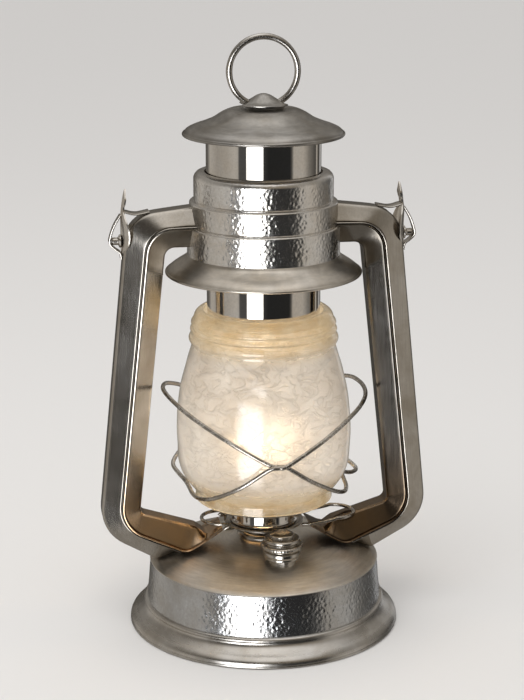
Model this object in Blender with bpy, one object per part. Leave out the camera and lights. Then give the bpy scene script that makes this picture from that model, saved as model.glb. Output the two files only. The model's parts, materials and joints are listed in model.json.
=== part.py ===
"""Barn lantern: a tubular oil lantern with a hammered fount, two side tubes and a sprung chimney.

Run it in Blender 4.5. Units are metres, +Z is up, +X is to the lantern's right, -Y is its front,
and the origin is on the ground under the lantern's axis. Every object is one separate piece.
"""

import math

import bmesh
import bpy
from mathutils import Matrix, Vector

MM = 0.001
GAP = 0.3 * MM

# Steps round a turned piece.
LARGE_STEPS = 24
SMALL_STEPS = 20
PIN_STEPS = 12

# Driving dimensions, in metres.

FOOT_HEIGHT = 12 * MM
WALL_BOTTOM_RADIUS = 73 * MM
WALL_TOP_RADIUS = 70.4 * MM
WALL_TOP = 39.2 * MM
WALL_SHEET = 1.1 * MM
TOP_SHEET = 1 * MM
BURNER_HOLE = 12.5 * MM
DOME_RADIUS = 70 * MM
DOME_EDGE = 41.5 * MM
DOME_RISE = 12 * MM

FILLER_X = 5.3 * MM
FILLER_Y = -37.5 * MM
FILLER_NECK_RADIUS = 8.4 * MM
FILLER_NECK_TOP = 60.5 * MM
FILLER_NECK_BOTTOM = 48.6 * MM
FILLER_NECK_SHEET = 1 * MM

PLATE_RADIUS = 25.6 * MM
PLATE_HEIGHT = 63 * MM
PLATE_SHEET = 1 * MM
PLATE_HOLE = 18.8 * MM
PLATE_EDGE = 0.6 * MM
SLEEVE_RADIUS = 19.5 * MM
SLEEVE_TOP = 88 * MM
SLEEVE_SHEET = 0.7 * MM
SPINDLE_X = 5.2 * MM
SPINDLE_HEIGHT = 59.5 * MM
SPINDLE_ROD = 1 * MM
SPUR_RADIUS = 4.1 * MM
SPUR_TEETH = 10
TOOTH_DEPTH = 0.9 * MM
KNOB_RADIUS = 7.8 * MM

GLOBE_BOTTOM = 80.3 * MM
GUARD_WIRE = 1.4 * MM
GUARD_CENTRE = 117 * MM
GUARD_SLOPE = 0.466
GUARD_INNER = 55.4 * MM
GUARD_OUTER = 58.6 * MM
GUARD_NOTCH = 50.4 * MM
GUARD_BULGE = 6.5 * MM
GUARD_LOBE = 2.6 * MM
LOOP_WIRE = 1.2 * MM
LOOP_HALF_WIDTH = 15 * MM
LOOP_HEIGHT = 65.3 * MM
LOOP_START = 15.4 * MM
LOOP_RIGHT_END = 40 * MM
LOOP_LEFT_END = 23 * MM

ARM_TOP = 250.8 * MM
ARM_START = 46.2 * MM
ARM_UPPER_CORNER = (70.5 * MM, ARM_TOP)
ARM_LOWER_CORNER = (89.7 * MM, 67.5 * MM)
ARM_FOOT = (50 * MM, 49 * MM)
ARM_TIP = (28.5 * MM, 61 * MM)
ARM_UPPER_BEND = 20 * MM
ARM_LOWER_BEND = 22 * MM
ARM_FOOT_BEND = 9 * MM
ARM_MIDDLE = ((78.5 * MM, 174 * MM), (84 * MM, 122 * MM))
ARM_ON_DOME = ((66 * MM, 56.4 * MM), (58 * MM, 52.6 * MM))
ARM_TAPER_SHARE = 0.26
ARM_END_WIDTH = 0.36
ARM_END_DEPTH = 0.3
ARM_END_TOP = 70 * MM
ARM_OVER_DOME = 1.2 * MM
ARM_OUTER_DEPTH = 11.6 * MM
ARM_INNER_DEPTH = 9 * MM
ARM_HALF_WIDTH = 12.6 * MM
ARM_SHEET = 0.9 * MM
SEAM_WIDTH = 2.2 * MM

CHIMNEY_RADIUS = 34.2 * MM
CHIMNEY_SHEET = 0.8 * MM
CHIMNEY_BOTTOM = 190 * MM
CHIMNEY_TOP = 303 * MM
SPRING_SEAT = 236.5 * MM
SPRING_SEAT_RADIUS = 39.4 * MM
SPRING_RADIUS = 37.4 * MM
SPRING_WIRE = 0.7 * MM
SPRING_COILS = 5
SPRING_BOTTOM = 238.5 * MM
SPRING_TOP = 280.4 * MM
RING_RADIUS = 20.35 * MM
RING_WIRE = 1.95 * MM
RING_AXIS = 321 * MM
CANOPY_LEGS = 3

EAR_PLANE = 83.9 * MM
EAR_SHEET = 1.2 * MM
EAR_PIN_HEIGHT = 243 * MM


def clear_scene():
    for old in list(bpy.data.objects):
        bpy.data.objects.remove(old, do_unlink=True)


def material(name, colour, metallic, roughness, alpha=1.0):
    made = bpy.data.materials.new(name)
    made.use_nodes = True
    shader = made.node_tree.nodes["Principled BSDF"]
    shader.inputs["Base Color"].default_value = (*colour, 1.0)
    shader.inputs["Metallic"].default_value = metallic
    shader.inputs["Roughness"].default_value = roughness
    shader.inputs["Alpha"].default_value = alpha
    return made


def mm(*points):
    """The points of an outline, turned from millimetres to metres."""
    return [(u * MM, v * MM) for u, v in points]


def place(name, bm, look, smooth_below=40):
    """Makes a closed mesh into an object, with its faces pointing out and its round faces smooth."""
    bmesh.ops.remove_doubles(bm, verts=bm.verts, dist=1e-7)
    bmesh.ops.recalc_face_normals(bm, faces=bm.faces)
    mesh = bpy.data.meshes.new(name)
    bm.to_mesh(mesh)
    bm.free()
    mesh.shade_smooth()
    mesh.set_sharp_from_angle(angle=math.radians(smooth_below))
    made = bpy.data.objects.new(name, mesh)
    made.data.materials.append(look)
    bpy.context.scene.collection.objects.link(made)
    return made


def turned(name, outline, look, steps=LARGE_STEPS, at=(0, 0, 0), along="Z"):
    """A closed outline of (radius, height) points spun once around its own axis."""
    bm = bmesh.new()
    corners = [bm.verts.new((r, 0, z)) for r, z in outline]
    on_axis = [abs(r) < 1e-9 for r, _ in outline]
    edges = []
    for i, corner in enumerate(corners):
        following = (i + 1) % len(corners)
        if not (on_axis[i] and on_axis[following]):
            edges.append(bm.edges.new((corner, corners[following])))
    bmesh.ops.spin(
        bm,
        geom=corners + edges,
        cent=(0, 0, 0),
        axis=(0, 0, 1),
        dvec=(0, 0, 0),
        angle=2 * math.pi,
        steps=steps,
        use_merge=True,
        use_duplicate=False,
    )
    if along == "X":
        bmesh.ops.rotate(bm, verts=bm.verts, matrix=Matrix.Rotation(math.pi / 2, 3, "Y"))
    elif along == "Y":
        bmesh.ops.rotate(bm, verts=bm.verts, matrix=Matrix.Rotation(-math.pi / 2, 3, "X"))
    made = place(name, bm, look)
    made.location = at
    return made


def extruded(name, outline, look, start, end, plane="XZ"):
    """A flat closed outline given thickness along the axis that its plane leaves out."""
    bm = bmesh.new()
    if plane == "XZ":
        corners = [bm.verts.new((u, start, v)) for u, v in outline]
        way = Vector((0, end - start, 0))
    elif plane == "YZ":
        corners = [bm.verts.new((start, u, v)) for u, v in outline]
        way = Vector((end - start, 0, 0))
    else:
        corners = [bm.verts.new((u, v, start)) for u, v in outline]
        way = Vector((0, 0, end - start))
    face = bm.faces.new(corners)
    grown = bmesh.ops.extrude_face_region(bm, geom=[face])["geom"]
    bmesh.ops.translate(bm, vec=way, verts=[g for g in grown if isinstance(g, bmesh.types.BMVert)])
    return place(name, bm, look, smooth_below=30)


def block(name, low, high, look):
    outline = [(low[0], low[1]), (high[0], low[1]), (high[0], high[1]), (low[0], high[1])]
    return extruded(name, outline, look, low[2], high[2], plane="XY")


def wire(name, points, radius, look, cyclic, resolution=1):
    """A round wire along a list of points."""
    curve = bpy.data.curves.new(name, "CURVE")
    curve.dimensions = "3D"
    curve.bevel_depth = radius
    curve.bevel_resolution = resolution
    curve.use_fill_caps = True
    spline = curve.splines.new("POLY")
    spline.points.add(len(points) - 1)
    for slot, point in zip(spline.points, points):
        slot.co = (*point, 1)
    spline.use_cyclic_u = cyclic
    spline.use_smooth = True
    curve.materials.append(look)
    made = bpy.data.objects.new(name, curve)
    bpy.context.scene.collection.objects.link(made)
    return made


def cutter(shape):
    shape.hide_render = True
    shape.display_type = "WIRE"
    return shape


def cut(target, tool):
    bite = target.modifiers.new("cut " + tool.name, "BOOLEAN")
    bite.operation = "DIFFERENCE"
    bite.solver = "EXACT"
    bite.object = tool


def dome_height(radius):
    """Height of the fount's domed top at a distance from the axis."""
    share = max(0.0, 1 - (radius / DOME_RADIUS) ** 2)
    return DOME_EDGE + DOME_RISE * share**0.9


# ---------------------------------------------------------------- the fount and its filler


def make_fount(satin, hammered, steel):
    turned(
        "foot_flange",
        mm(
            (73.2, 12), (74.4, 9.6), (77, 7.6), (80.4, 6.0), (82.6, 4.9), (84, 2.8), (83.4, 0.7),
            (82.4, 0), (79.4, 0), (79, 1.6), (79.6, 3.4), (76.4, 5.6), (73.4, 7.8), (72.2, 10), (72, 12),
        ),
        satin,
    )
    turned(
        "fount_wall",
        [
            (WALL_BOTTOM_RADIUS, FOOT_HEIGHT + GAP),
            (WALL_TOP_RADIUS, WALL_TOP),
            (WALL_TOP_RADIUS - WALL_SHEET, WALL_TOP),
            (WALL_BOTTOM_RADIUS - WALL_SHEET, FOOT_HEIGHT + GAP),
        ],
        hammered,
    )
    hole = BURNER_HOLE / MM
    outer = [(r * MM, dome_height(r * MM)) for r in (hole, 22, 32, 42, 52, 60, 66)]
    edge = mm((69.4, 42.4), (70.5, 41), (70.4, 39.6), (69.3, 39.6), (69.3, 40.6), (68.6, 41.4))
    inner = [(r * MM, dome_height(r * MM) - TOP_SHEET) for r in (65.6, 59.8, 52, 42, 32, 22, hole)]
    top = turned("fount_top", outer + edge + inner, satin)
    hole_radius = FILLER_NECK_RADIUS + GAP
    neck_hole = turned(
        "cutter_filler_hole",
        [(0, 40 * MM), (0, 60 * MM), (hole_radius, 60 * MM), (hole_radius, 40 * MM)],
        steel,
        SMALL_STEPS,
        (FILLER_X, FILLER_Y, 0),
    )
    cut(top, cutter(neck_hole))
    turned(
        "fount_floor",
        mm((0, 3.6), (65.6, 3.6), (70.4, 5.2), (71.3, 9.4), (70.2, 9.4), (69.4, 6.2), (65.2, 4.8), (0, 4.8)),
        steel,
    )


def make_filler(chrome, steel, rubber):
    at = (FILLER_X, FILLER_Y, 0)
    bore = FILLER_NECK_RADIUS - FILLER_NECK_SHEET
    turned(
        "filler_neck",
        [
            (FILLER_NECK_RADIUS, FILLER_NECK_TOP), (FILLER_NECK_RADIUS, FILLER_NECK_BOTTOM),
            (bore, FILLER_NECK_BOTTOM), (bore, FILLER_NECK_TOP),
        ],
        steel,
        SMALL_STEPS,
        at,
    )
    turned("filler_seal", mm((0, 60.9), (8.2, 60.9), (8.2, 62.1), (0, 62.1)), rubber, SMALL_STEPS, at)
    turned(
        "filler_cap",
        mm(
            (0, 68.4), (4.6, 68), (6, 66.8), (6.2, 65.8), (9.2, 65.4), (10, 64.4), (10, 61.8), (9.6, 60.8),
            (11.6, 60.2), (12.4, 59), (12.4, 54.2), (11.8, 52.9), (8.9, 52.9), (8.9, 62.5), (0, 62.5),
        ),
        chrome,
        SMALL_STEPS,
        at,
    )


# ---------------------------------------------------------------- the burner


def make_burner(brass, chrome, steel, cotton):
    collar = mm((12.8, 57), (16, 57), (16.4, 55), (16, 53.6), (12.8, 53.9))
    turned("burner_collar", collar, brass, SMALL_STEPS)
    neck = turned(
        "burner_neck",
        mm(
            (13.6, 57.4), (14.4, 59.4), (17.6, 61.2), (21, 61.8),
            (21, 62.5), (17.4, 62.1), (13.6, 60.2), (12.6, 57.4),
        ),
        chrome,
        SMALL_STEPS,
    )
    turned("burner_tube", mm((18.2, 90), (18.2, 62.9), (17.4, 62.9), (17.4, 90)), brass, SMALL_STEPS)
    cone = turned(
        "burner_cone",
        mm(
            (0, 101), (5.5, 100.4), (10.5, 98.4), (15, 94.6), (17.6, 91.6), (18, 90.3),
            (17, 90.3), (16.6, 91.2), (14.3, 93.8), (10, 97.4), (5.2, 99.4), (0, 100),
        ),
        brass,
        SMALL_STEPS,
    )
    slot = block("cutter_flame_slot", (-2.6 * MM, -9 * MM, 92 * MM), (2.6 * MM, 9 * MM, 104 * MM), steel)
    cut(cone, cutter(slot))

    tube = block("wick_tube", (-2.1 * MM, -8.1 * MM, 50 * MM), (2.1 * MM, 8.1 * MM, 96 * MM), brass)
    bore = block("cutter_wick_bore", (-1.3 * MM, -7.3 * MM, 45 * MM), (1.3 * MM, 7.3 * MM, 99 * MM), steel)
    window_low, window_high = (0.6 * MM, -6.6 * MM, 54.6 * MM), (4 * MM, 6.6 * MM, 64.4 * MM)
    window = block("cutter_spur_window", window_low, window_high, steel)
    cut(tube, cutter(bore))
    cut(tube, cutter(window))
    block("wick", (-1 * MM, -7 * MM, 20 * MM), (1 * MM, 7 * MM, 102.4 * MM), cotton)

    spindle_hole = turned(
        "cutter_spindle_hole",
        mm((0, 6), (0, 30), (1.6, 30), (1.6, 6)),
        steel,
        PIN_STEPS,
        (SPINDLE_X, 0, SPINDLE_HEIGHT),
        along="Y",
    )
    cut(neck, cutter(spindle_hole))
    make_spindle(brass)
    knob = KNOB_RADIUS / MM
    turned(
        "wick_knob",
        mm((1.3, 33.4), (5, 33.4), (knob, 34.2), (knob, 36.4), (5, 37.2), (1.3, 37.2)),
        brass,
        SMALL_STEPS,
        (SPINDLE_X, 0, SPINDLE_HEIGHT),
        along="Y",
    )


def make_spindle(brass):
    """The wick shaft: a thin rod with two toothed spur wheels, as one outline turned and toothed."""
    rod = SPINDLE_ROD
    root = SPUR_RADIUS - TOOTH_DEPTH
    teeth = SPUR_TEETH
    bm = bmesh.new()
    stations = [
        (-8 * MM, rod, rod), (-5.6 * MM, rod, rod),
        (-5.6 * MM, root, SPUR_RADIUS), (-3.6 * MM, root, SPUR_RADIUS),
        (-3.6 * MM, rod, rod), (3.6 * MM, rod, rod),
        (3.6 * MM, root, SPUR_RADIUS), (5.6 * MM, root, SPUR_RADIUS),
        (5.6 * MM, rod, rod), (38 * MM, rod, rod),
    ]
    rings = []
    for y, low, high in stations:
        ring = []
        for i in range(2 * teeth):
            radius = high if i % 2 else low
            turn = math.pi * i / teeth
            ring.append(bm.verts.new((radius * math.cos(turn), y, radius * math.sin(turn))))
        rings.append(ring)
    for first, second in zip(rings, rings[1:]):
        for i in range(2 * teeth):
            j = (i + 1) % (2 * teeth)
            bm.faces.new((first[i], first[j], second[j], second[i]))
    bm.faces.new(rings[0])
    bm.faces.new(rings[-1])
    made = place("wick_spindle", bm, brass, smooth_below=25)
    made.location = (SPINDLE_X, 0, SPINDLE_HEIGHT)


# ---------------------------------------------------------------- the globe and what lifts it


def guard_radius(turn, base):
    """Plan radius of a guard wire; turn 0 is its low side, where it makes two small lobes."""
    bulge = GUARD_BULGE * max(0.0, -math.cos(turn)) ** 5
    lobes = sum(math.exp(-(((turn - side * 0.36) / 0.15) ** 2)) for side in (-1, 1))
    notch = math.exp(-((turn / 0.16) ** 2))
    return base + bulge + GUARD_LOBE * lobes - (base - GUARD_NOTCH) * notch


def guard_points(side, base, count=48):
    points = []
    for i in range(count):
        turn = 2 * math.pi * i / count
        signed = (turn + math.pi) % (2 * math.pi) - math.pi
        radius = guard_radius(signed, base)
        x = radius * math.cos(turn)
        points.append((side * x, radius * math.sin(turn), GUARD_CENTRE - GUARD_SLOPE * x))
    return points


def loop_points(side, straight_end):
    """A U of wire lying flat: out from the carrier plate, round, and back."""
    turns = 7
    points = [(side * LOOP_START, -LOOP_HALF_WIDTH, LOOP_HEIGHT)]
    for i in range(turns + 1):
        turn = math.pi * i / turns - math.pi / 2
        x = straight_end + LOOP_HALF_WIDTH * math.cos(turn)
        points.append((side * x, LOOP_HALF_WIDTH * math.sin(turn), LOOP_HEIGHT))
    points.append((side * LOOP_START, LOOP_HALF_WIDTH, LOOP_HEIGHT))
    return points


def make_globe_and_carrier(glass, chrome, steel, wire_look):
    plate = PLATE_HEIGHT
    plate_top = plate + PLATE_SHEET
    turned(
        "carrier_plate",
        [
            (PLATE_HOLE, plate), (PLATE_RADIUS - PLATE_EDGE, plate), (PLATE_RADIUS, plate + PLATE_SHEET / 2),
            (PLATE_RADIUS - PLATE_EDGE, plate_top), (PLATE_HOLE, plate_top),
        ],
        chrome,
        SMALL_STEPS,
    )
    turned(
        "carrier_sleeve",
        [
            (SLEEVE_RADIUS, SLEEVE_TOP), (SLEEVE_RADIUS, plate_top + GAP),
            (SLEEVE_RADIUS - SLEEVE_SHEET, plate_top + GAP), (SLEEVE_RADIUS - SLEEVE_SHEET, SLEEVE_TOP),
        ],
        chrome,
        SMALL_STEPS,
    )
    turned(
        "globe_gallery",
        mm(
            (20, 78.4), (39, 78.4), (39.6, 79.8), (37.4, 79.8),
            (37.2, 83.4), (36.4, 83.4), (36, 79.4), (20, 79.4),
        ),
        steel,
        SMALL_STEPS,
    )
    outer = (
        (36.6, 199.2), (40.1, 197.4), (42.3, 194.6), (43.2, 191), (44.7, 183.4), (44.4, 180.6), (43.3, 178),
        (44.4, 174.4), (47.5, 164), (50.4, 153), (52.6, 141), (53.3, 125), (52.9, 105.5), (50.4, 97.4),
        (45.4, 89.6), (42, 86), (42.2, GLOBE_BOTTOM / MM),
    )
    inner = (
        (38.8, GLOBE_BOTTOM / MM), (38.8, 87), (43, 92), (47.6, 99), (49.9, 107), (50.2, 125), (49.4, 141),
        (44.4, 164), (40.6, 176), (40.2, 189), (38.2, 194.4), (36.2, 196.4),
    )
    turned("globe", mm(*outer, *inner), glass)
    wire("guard_wire_a", guard_points(1, GUARD_INNER), GUARD_WIRE, wire_look, True)
    wire("guard_wire_b", guard_points(-1, GUARD_OUTER), GUARD_WIRE, wire_look, True)
    wire("lift_loop_right", loop_points(1, LOOP_RIGHT_END), LOOP_WIRE, wire_look, False)
    wire("lift_loop_left", loop_points(-1, LOOP_LEFT_END), LOOP_WIRE, wire_look, False)


# ---------------------------------------------------------------- the side tubes


def rounded_corner(before, corner, after, radius, steps):
    """Points of the arc that rounds a corner in the XZ plane."""
    a, b, c = (Vector(p) for p in (before, corner, after))
    inwards, outwards = (a - b).normalized(), (c - b).normalized()
    half = inwards.angle(outwards) / 2
    centre = b + (inwards + outwards).normalized() * (radius / math.sin(half))
    start = b + inwards * (radius / math.tan(half)) - centre
    end = b + outwards * (radius / math.tan(half)) - centre
    full = start.angle(end)
    points = []
    for i in range(steps + 1):
        share = i / steps
        mixed = (math.sin((1 - share) * full) * start + math.sin(share * full) * end) / math.sin(full)
        points.append(tuple(centre + mixed))
    return points


def arm_path():
    """The seam's line through a right-hand side tube, from the hood down to the tip at the burner."""
    start = (ARM_START, ARM_TOP)
    path = [start]
    path += rounded_corner(start, ARM_UPPER_CORNER, ARM_LOWER_CORNER, ARM_UPPER_BEND, 5)
    path += list(ARM_MIDDLE)
    path += rounded_corner(ARM_UPPER_CORNER, ARM_LOWER_CORNER, ARM_FOOT, ARM_LOWER_BEND, 6)
    path += list(ARM_ON_DOME)
    path += rounded_corner(ARM_LOWER_CORNER, ARM_FOOT, ARM_TIP, ARM_FOOT_BEND, 3)
    path += [ARM_TIP]
    return path


def along_path(path):
    """For each point, its share of the whole length and the direction that points to the tube's outside."""
    lengths = [0.0]
    for first, second in zip(path, path[1:]):
        lengths.append(lengths[-1] + (Vector(second) - Vector(first)).length)
    rows = []
    for i, point in enumerate(path):
        before, after = path[max(i - 1, 0)], path[min(i + 1, len(path) - 1)]
        way = (Vector(after) - Vector(before)).normalized()
        rows.append((point, lengths[i] / lengths[-1], Vector((-way.y, way.x))))
    return rows


def half_section(depth, half_width, sheet, seam):
    """One pressed half of a side tube, as (across, outward) points: a shell with a flange at each edge."""
    arc_steps = 4
    turns = [math.pi * i / arc_steps for i in range(arc_steps + 1)]
    edge = half_width + seam
    outside = [(half_width * math.cos(t), GAP / 2 + sheet + (depth - sheet) * math.sin(t)) for t in turns]
    inside = [
        ((half_width - sheet) * math.cos(t), GAP / 2 + (depth - sheet) * math.sin(t)) for t in reversed(turns)
    ]
    flanges = [(-edge, GAP / 2 + sheet), (-edge, GAP / 2)]
    far_flanges = [(edge, GAP / 2), (edge, GAP / 2 + sheet)]
    return outside + flanges + inside + far_flanges


def make_half_tube(name, side, outer, look):
    """Sweeps a half section along the seam's line; the outer half ends where it reaches the dome."""
    normal_share = 0.86  # how much of the height over the dome a tube lying at its slope can fill
    bm = bmesh.new()
    rings = []
    for (x, z), share, normal in along_path(arm_path()):
        taper = min(1.0, (1 - share) / ARM_TAPER_SHARE)
        half_width = ARM_HALF_WIDTH * (ARM_END_WIDTH + (1 - ARM_END_WIDTH) * taper**0.8)
        if outer:
            room = (z - dome_height(x)) * normal_share - ARM_OVER_DOME
            depth = min(ARM_OUTER_DEPTH, room) if z < ARM_END_TOP else ARM_OUTER_DEPTH
            if depth < 2.5 * ARM_SHEET:
                break
            outward = normal
        else:
            depth = ARM_INNER_DEPTH * (ARM_END_DEPTH + (1 - ARM_END_DEPTH) * taper)
            outward = -normal
        ring = []
        for across, out in half_section(depth, half_width, ARM_SHEET, SEAM_WIDTH):
            ring.append(bm.verts.new((side * (x + outward.x * out), across, z + outward.y * out)))
        rings.append(ring)
    for first, second in zip(rings, rings[1:]):
        for i in range(len(first)):
            j = (i + 1) % len(first)
            bm.faces.new((first[i], first[j], second[j], second[i]))
    bm.faces.new(rings[0])
    bm.faces.new(rings[-1])
    return place(name, bm, look)


def make_side_tubes(satin):
    for side, word in ((1, "right"), (-1, "left")):
        make_half_tube("tube_outer_" + word, side, True, satin)
        make_half_tube("tube_inner_" + word, side, False, satin)


# ---------------------------------------------------------------- the bail ears


def make_ears(satin, steel):
    leaf = mm(
        (0, 274), (3.4, 270), (7.4, 263), (10.8, 255.5), (12, 248.5), (10.6, 242), (6.6, 238.6), (0, 237.6),
    )
    outline = leaf + [(-y, z) for y, z in reversed(leaf[1:-1])]
    outer_face = EAR_PLANE + EAR_SHEET
    strap = mm((85.3, 258.4), (88.6, 253.4), (91.6, 246.6), (92.9, 241.6), (90, 238.6), (86, 236.4))
    strap_back = mm((85.6, 237.4), (89, 239.4), (91.5, 242), (90.5, 246.2), (87.7, 252.6), (85.3, 256.4))
    tab = mm((64, 264.4), (70, 264.2), (83.6, 262.2), (83.6, 261.2), (70, 263.2), (64, 263.4))
    for side, word in ((1, "right"), (-1, "left")):
        extruded("ear_plate_" + word, outline, satin, side * EAR_PLANE, side * outer_face, plane="YZ")
        extruded("ear_strap_" + word, [(side * x, z) for x, z in strap + strap_back], satin, -3 * MM, 3 * MM)
        extruded("ear_tab_" + word, [(side * x, z) for x, z in tab], satin, -5 * MM, 5 * MM)
        pin = mm((0, 85.4), (3.7, 85.4), (3.7, 86.6), (2.2, 86.8), (2.2, 90.3), (0, 90.3))
        pin = [(r, side * x) for r, x in pin]
        turned("ear_pin_" + word, pin, steel, PIN_STEPS, (0, 0, EAR_PIN_HEIGHT), along="X")


# ---------------------------------------------------------------- the hood, the chimney and the ring


def make_hood(hammered, satin):
    turned(
        "hood",
        mm(
            (35.2, 282.6), (38.5, 282.4), (40.7, 280.8), (41.6, 278.2), (41.6, 265.8), (44.1, 264.6),
            (44.2, 251.4), (45.5, 250.4), (45.7, 233.4), (44.7, 233.4), (44.5, 249.6), (43.2, 250.5),
            (43.1, 263.8), (40.6, 265), (40.6, 277.9), (39.9, 280), (38.2, 281.4), (35.2, 281.6),
        ),
        hammered,
    )
    turned(
        "hood_brim",
        mm(
            (45.8, 233), (47.6, 231), (51.8, 228.5), (55.2, 226), (58.4, 223.6), (59.2, 221.8), (58.6, 221.2),
            (57.6, 222.8), (54.6, 225), (51.2, 227.5), (46.9, 229.9), (44.8, 233),
        ),
        satin,
    )


def make_chimney(chrome, satin, steel):
    inside = CHIMNEY_RADIUS - CHIMNEY_SHEET
    seat = SPRING_SEAT_RADIUS
    seat_top = SPRING_SEAT + CHIMNEY_SHEET
    turned(
        "chimney_tube",
        [
            (CHIMNEY_RADIUS, CHIMNEY_TOP), (CHIMNEY_RADIUS, seat_top), (seat, seat_top),
            (seat, SPRING_SEAT), (CHIMNEY_RADIUS, SPRING_SEAT), (CHIMNEY_RADIUS, CHIMNEY_BOTTOM),
            (inside, CHIMNEY_BOTTOM), (inside, CHIMNEY_TOP),
        ],
        chrome,
    )
    turned(
        "canopy",
        mm(
            (6.9, 318.6), (12.8, 318.6), (14, 319.6), (20.2, 319.6), (25.2, 317.5), (30.5, 314),
            (36.5, 311.5), (43.5, 309), (47.4, 306.7), (48.2, 305.1), (47.6, 303.6), (46.4, 303.8),
            (46.2, 305.6), (43, 307.8),
            (36, 310.4), (30, 312.9), (24.8, 316.4), (20, 318.4), (14.4, 318.4), (13.2, 317.6), (6.9, 317.6),
        ),
        satin,
    )
    leg = mm((32.6, 293), (32.6, 310.8), (27, 313.4), (26.7, 312.6), (31.8, 310.2), (31.8, 293))
    for i in range(CANOPY_LEGS):
        made = extruded("canopy_leg_" + str(i + 1), leg, steel, -3.5 * MM, 3.5 * MM)
        made.rotation_euler.z = math.radians(30 + 360 * i / CANOPY_LEGS)
    per_coil = 14
    count = SPRING_COILS * per_coil
    spring = []
    for i in range(count + 1):
        turn = 2 * math.pi * i / per_coil
        height = SPRING_BOTTOM + (SPRING_TOP - SPRING_BOTTOM) * i / count
        spring.append((SPRING_RADIUS * math.cos(turn), SPRING_RADIUS * math.sin(turn), height))
    wire("chimney_spring", spring, SPRING_WIRE, steel, False, resolution=0)


def ring_room(x):
    """Radius around the swing axis that the ring's lower arc sweeps at a distance from the middle."""
    inner_edge = RING_RADIUS - RING_WIRE
    return RING_RADIUS - math.sqrt(inner_edge**2 - x**2) + 1.5 * GAP


def make_finial_and_ring(satin, steel):
    finial = turned(
        "finial",
        mm(
            (0, 328.6), (3, 328.2), (6, 326.9), (9, 324.9), (12, 323.4), (15.4, 322.7), (15.4, 321.8),
            (13.2, 321.2), (12.2, 318.9), (6.6, 318.9), (6.6, 313), (0, 313),
        ),
        satin,
        SMALL_STEPS,
    )
    reach = [-16.5, -14.5, -12.5, -10.5, -8, -5, 0, 5, 8, 10.5, 12.5, 14.5, 16.5]
    outline = [(ring_room(x * MM), x * MM) for x in reach]
    room = turned(
        "cutter_ring_room",
        [(0, reach[0] * MM)] + outline + [(0, reach[-1] * MM)],
        steel,
        SMALL_STEPS,
        (0, 0, RING_AXIS),
        along="X",
    )
    cut(finial, cutter(room))
    turned("finial_nut", mm((11.4, 317.2), (11.4, 313.6), (6.9, 313.6), (6.9, 317.2)), steel, PIN_STEPS)
    centre = RING_AXIS + RING_RADIUS
    turns = [2 * math.pi * i / 32 for i in range(32)]
    ring = [(RING_RADIUS * math.sin(t), 0, centre - RING_RADIUS * math.cos(t)) for t in turns]
    wire("hanging_ring", ring, RING_WIRE, steel, True, resolution=2)


def main():
    clear_scene()
    satin = material("satin nickel", (0.62, 0.60, 0.57), 1.0, 0.34)
    hammered = material("hammered nickel", (0.72, 0.72, 0.72), 1.0, 0.16)
    chrome = material("polished chrome", (0.80, 0.80, 0.81), 1.0, 0.05)
    steel = material("dull steel", (0.42, 0.40, 0.38), 1.0, 0.38)
    wire_look = material("guard wire steel", (0.36, 0.33, 0.31), 1.0, 0.42)
    brass = material("burner brass", (0.66, 0.50, 0.26), 1.0, 0.30)
    cotton = material("wick cotton", (0.82, 0.76, 0.64), 0.0, 0.90)
    rubber = material("seal rubber", (0.05, 0.05, 0.05), 0.0, 0.70)
    glass = material("frosted glass", (0.93, 0.86, 0.72), 0.0, 0.45, alpha=0.6)
    make_fount(satin, hammered, steel)
    make_filler(chrome, steel, rubber)
    make_burner(brass, chrome, steel, cotton)
    make_globe_and_carrier(glass, chrome, steel, wire_look)
    make_side_tubes(satin)
    make_ears(satin, steel)
    make_hood(hammered, satin)
    make_chimney(chrome, satin, steel)
    make_finial_and_ring(satin, steel)


main()
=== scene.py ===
"""Looks of the barn lantern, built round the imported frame. Shapes are in millimetres and looks in metres."""

import json
import math
import random

import bmesh
import bpy
import numpy as np
from mathutils import Matrix, Vector, kdtree


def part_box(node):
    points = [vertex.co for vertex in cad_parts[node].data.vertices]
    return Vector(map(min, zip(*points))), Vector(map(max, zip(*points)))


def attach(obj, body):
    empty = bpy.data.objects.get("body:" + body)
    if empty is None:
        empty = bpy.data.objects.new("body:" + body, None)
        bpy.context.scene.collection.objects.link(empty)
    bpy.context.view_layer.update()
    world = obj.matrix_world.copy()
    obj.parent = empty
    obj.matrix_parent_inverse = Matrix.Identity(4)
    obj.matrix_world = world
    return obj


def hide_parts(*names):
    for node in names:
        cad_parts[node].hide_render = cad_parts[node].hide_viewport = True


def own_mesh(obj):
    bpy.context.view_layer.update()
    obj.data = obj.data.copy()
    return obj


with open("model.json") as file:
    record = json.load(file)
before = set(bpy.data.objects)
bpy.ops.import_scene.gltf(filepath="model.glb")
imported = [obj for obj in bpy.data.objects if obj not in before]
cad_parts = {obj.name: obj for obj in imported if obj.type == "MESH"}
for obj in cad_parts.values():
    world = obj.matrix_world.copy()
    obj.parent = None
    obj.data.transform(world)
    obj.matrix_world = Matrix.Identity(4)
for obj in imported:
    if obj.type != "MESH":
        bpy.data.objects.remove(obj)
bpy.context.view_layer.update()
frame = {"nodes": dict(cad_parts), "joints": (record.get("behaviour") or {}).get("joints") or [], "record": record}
NODES = frame["nodes"]
JOINTS = {joint["name"]: joint for joint in frame["joints"]}

BODY_OF = {node: body for body, nodes in frame["record"]["behaviour"]["bodies"].items() for node in nodes}

MM = 0.001
ROUND_STEPS = 168
BEAD_STEPS = 14
BEND_STEPS = 10


def centre_of(node):
    """The middle of a CAD node's box, in millimetres."""
    low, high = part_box(node)
    return tuple((a + b) / 2 / MM for a, b in zip(low, high))


# ---- outlines


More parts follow.
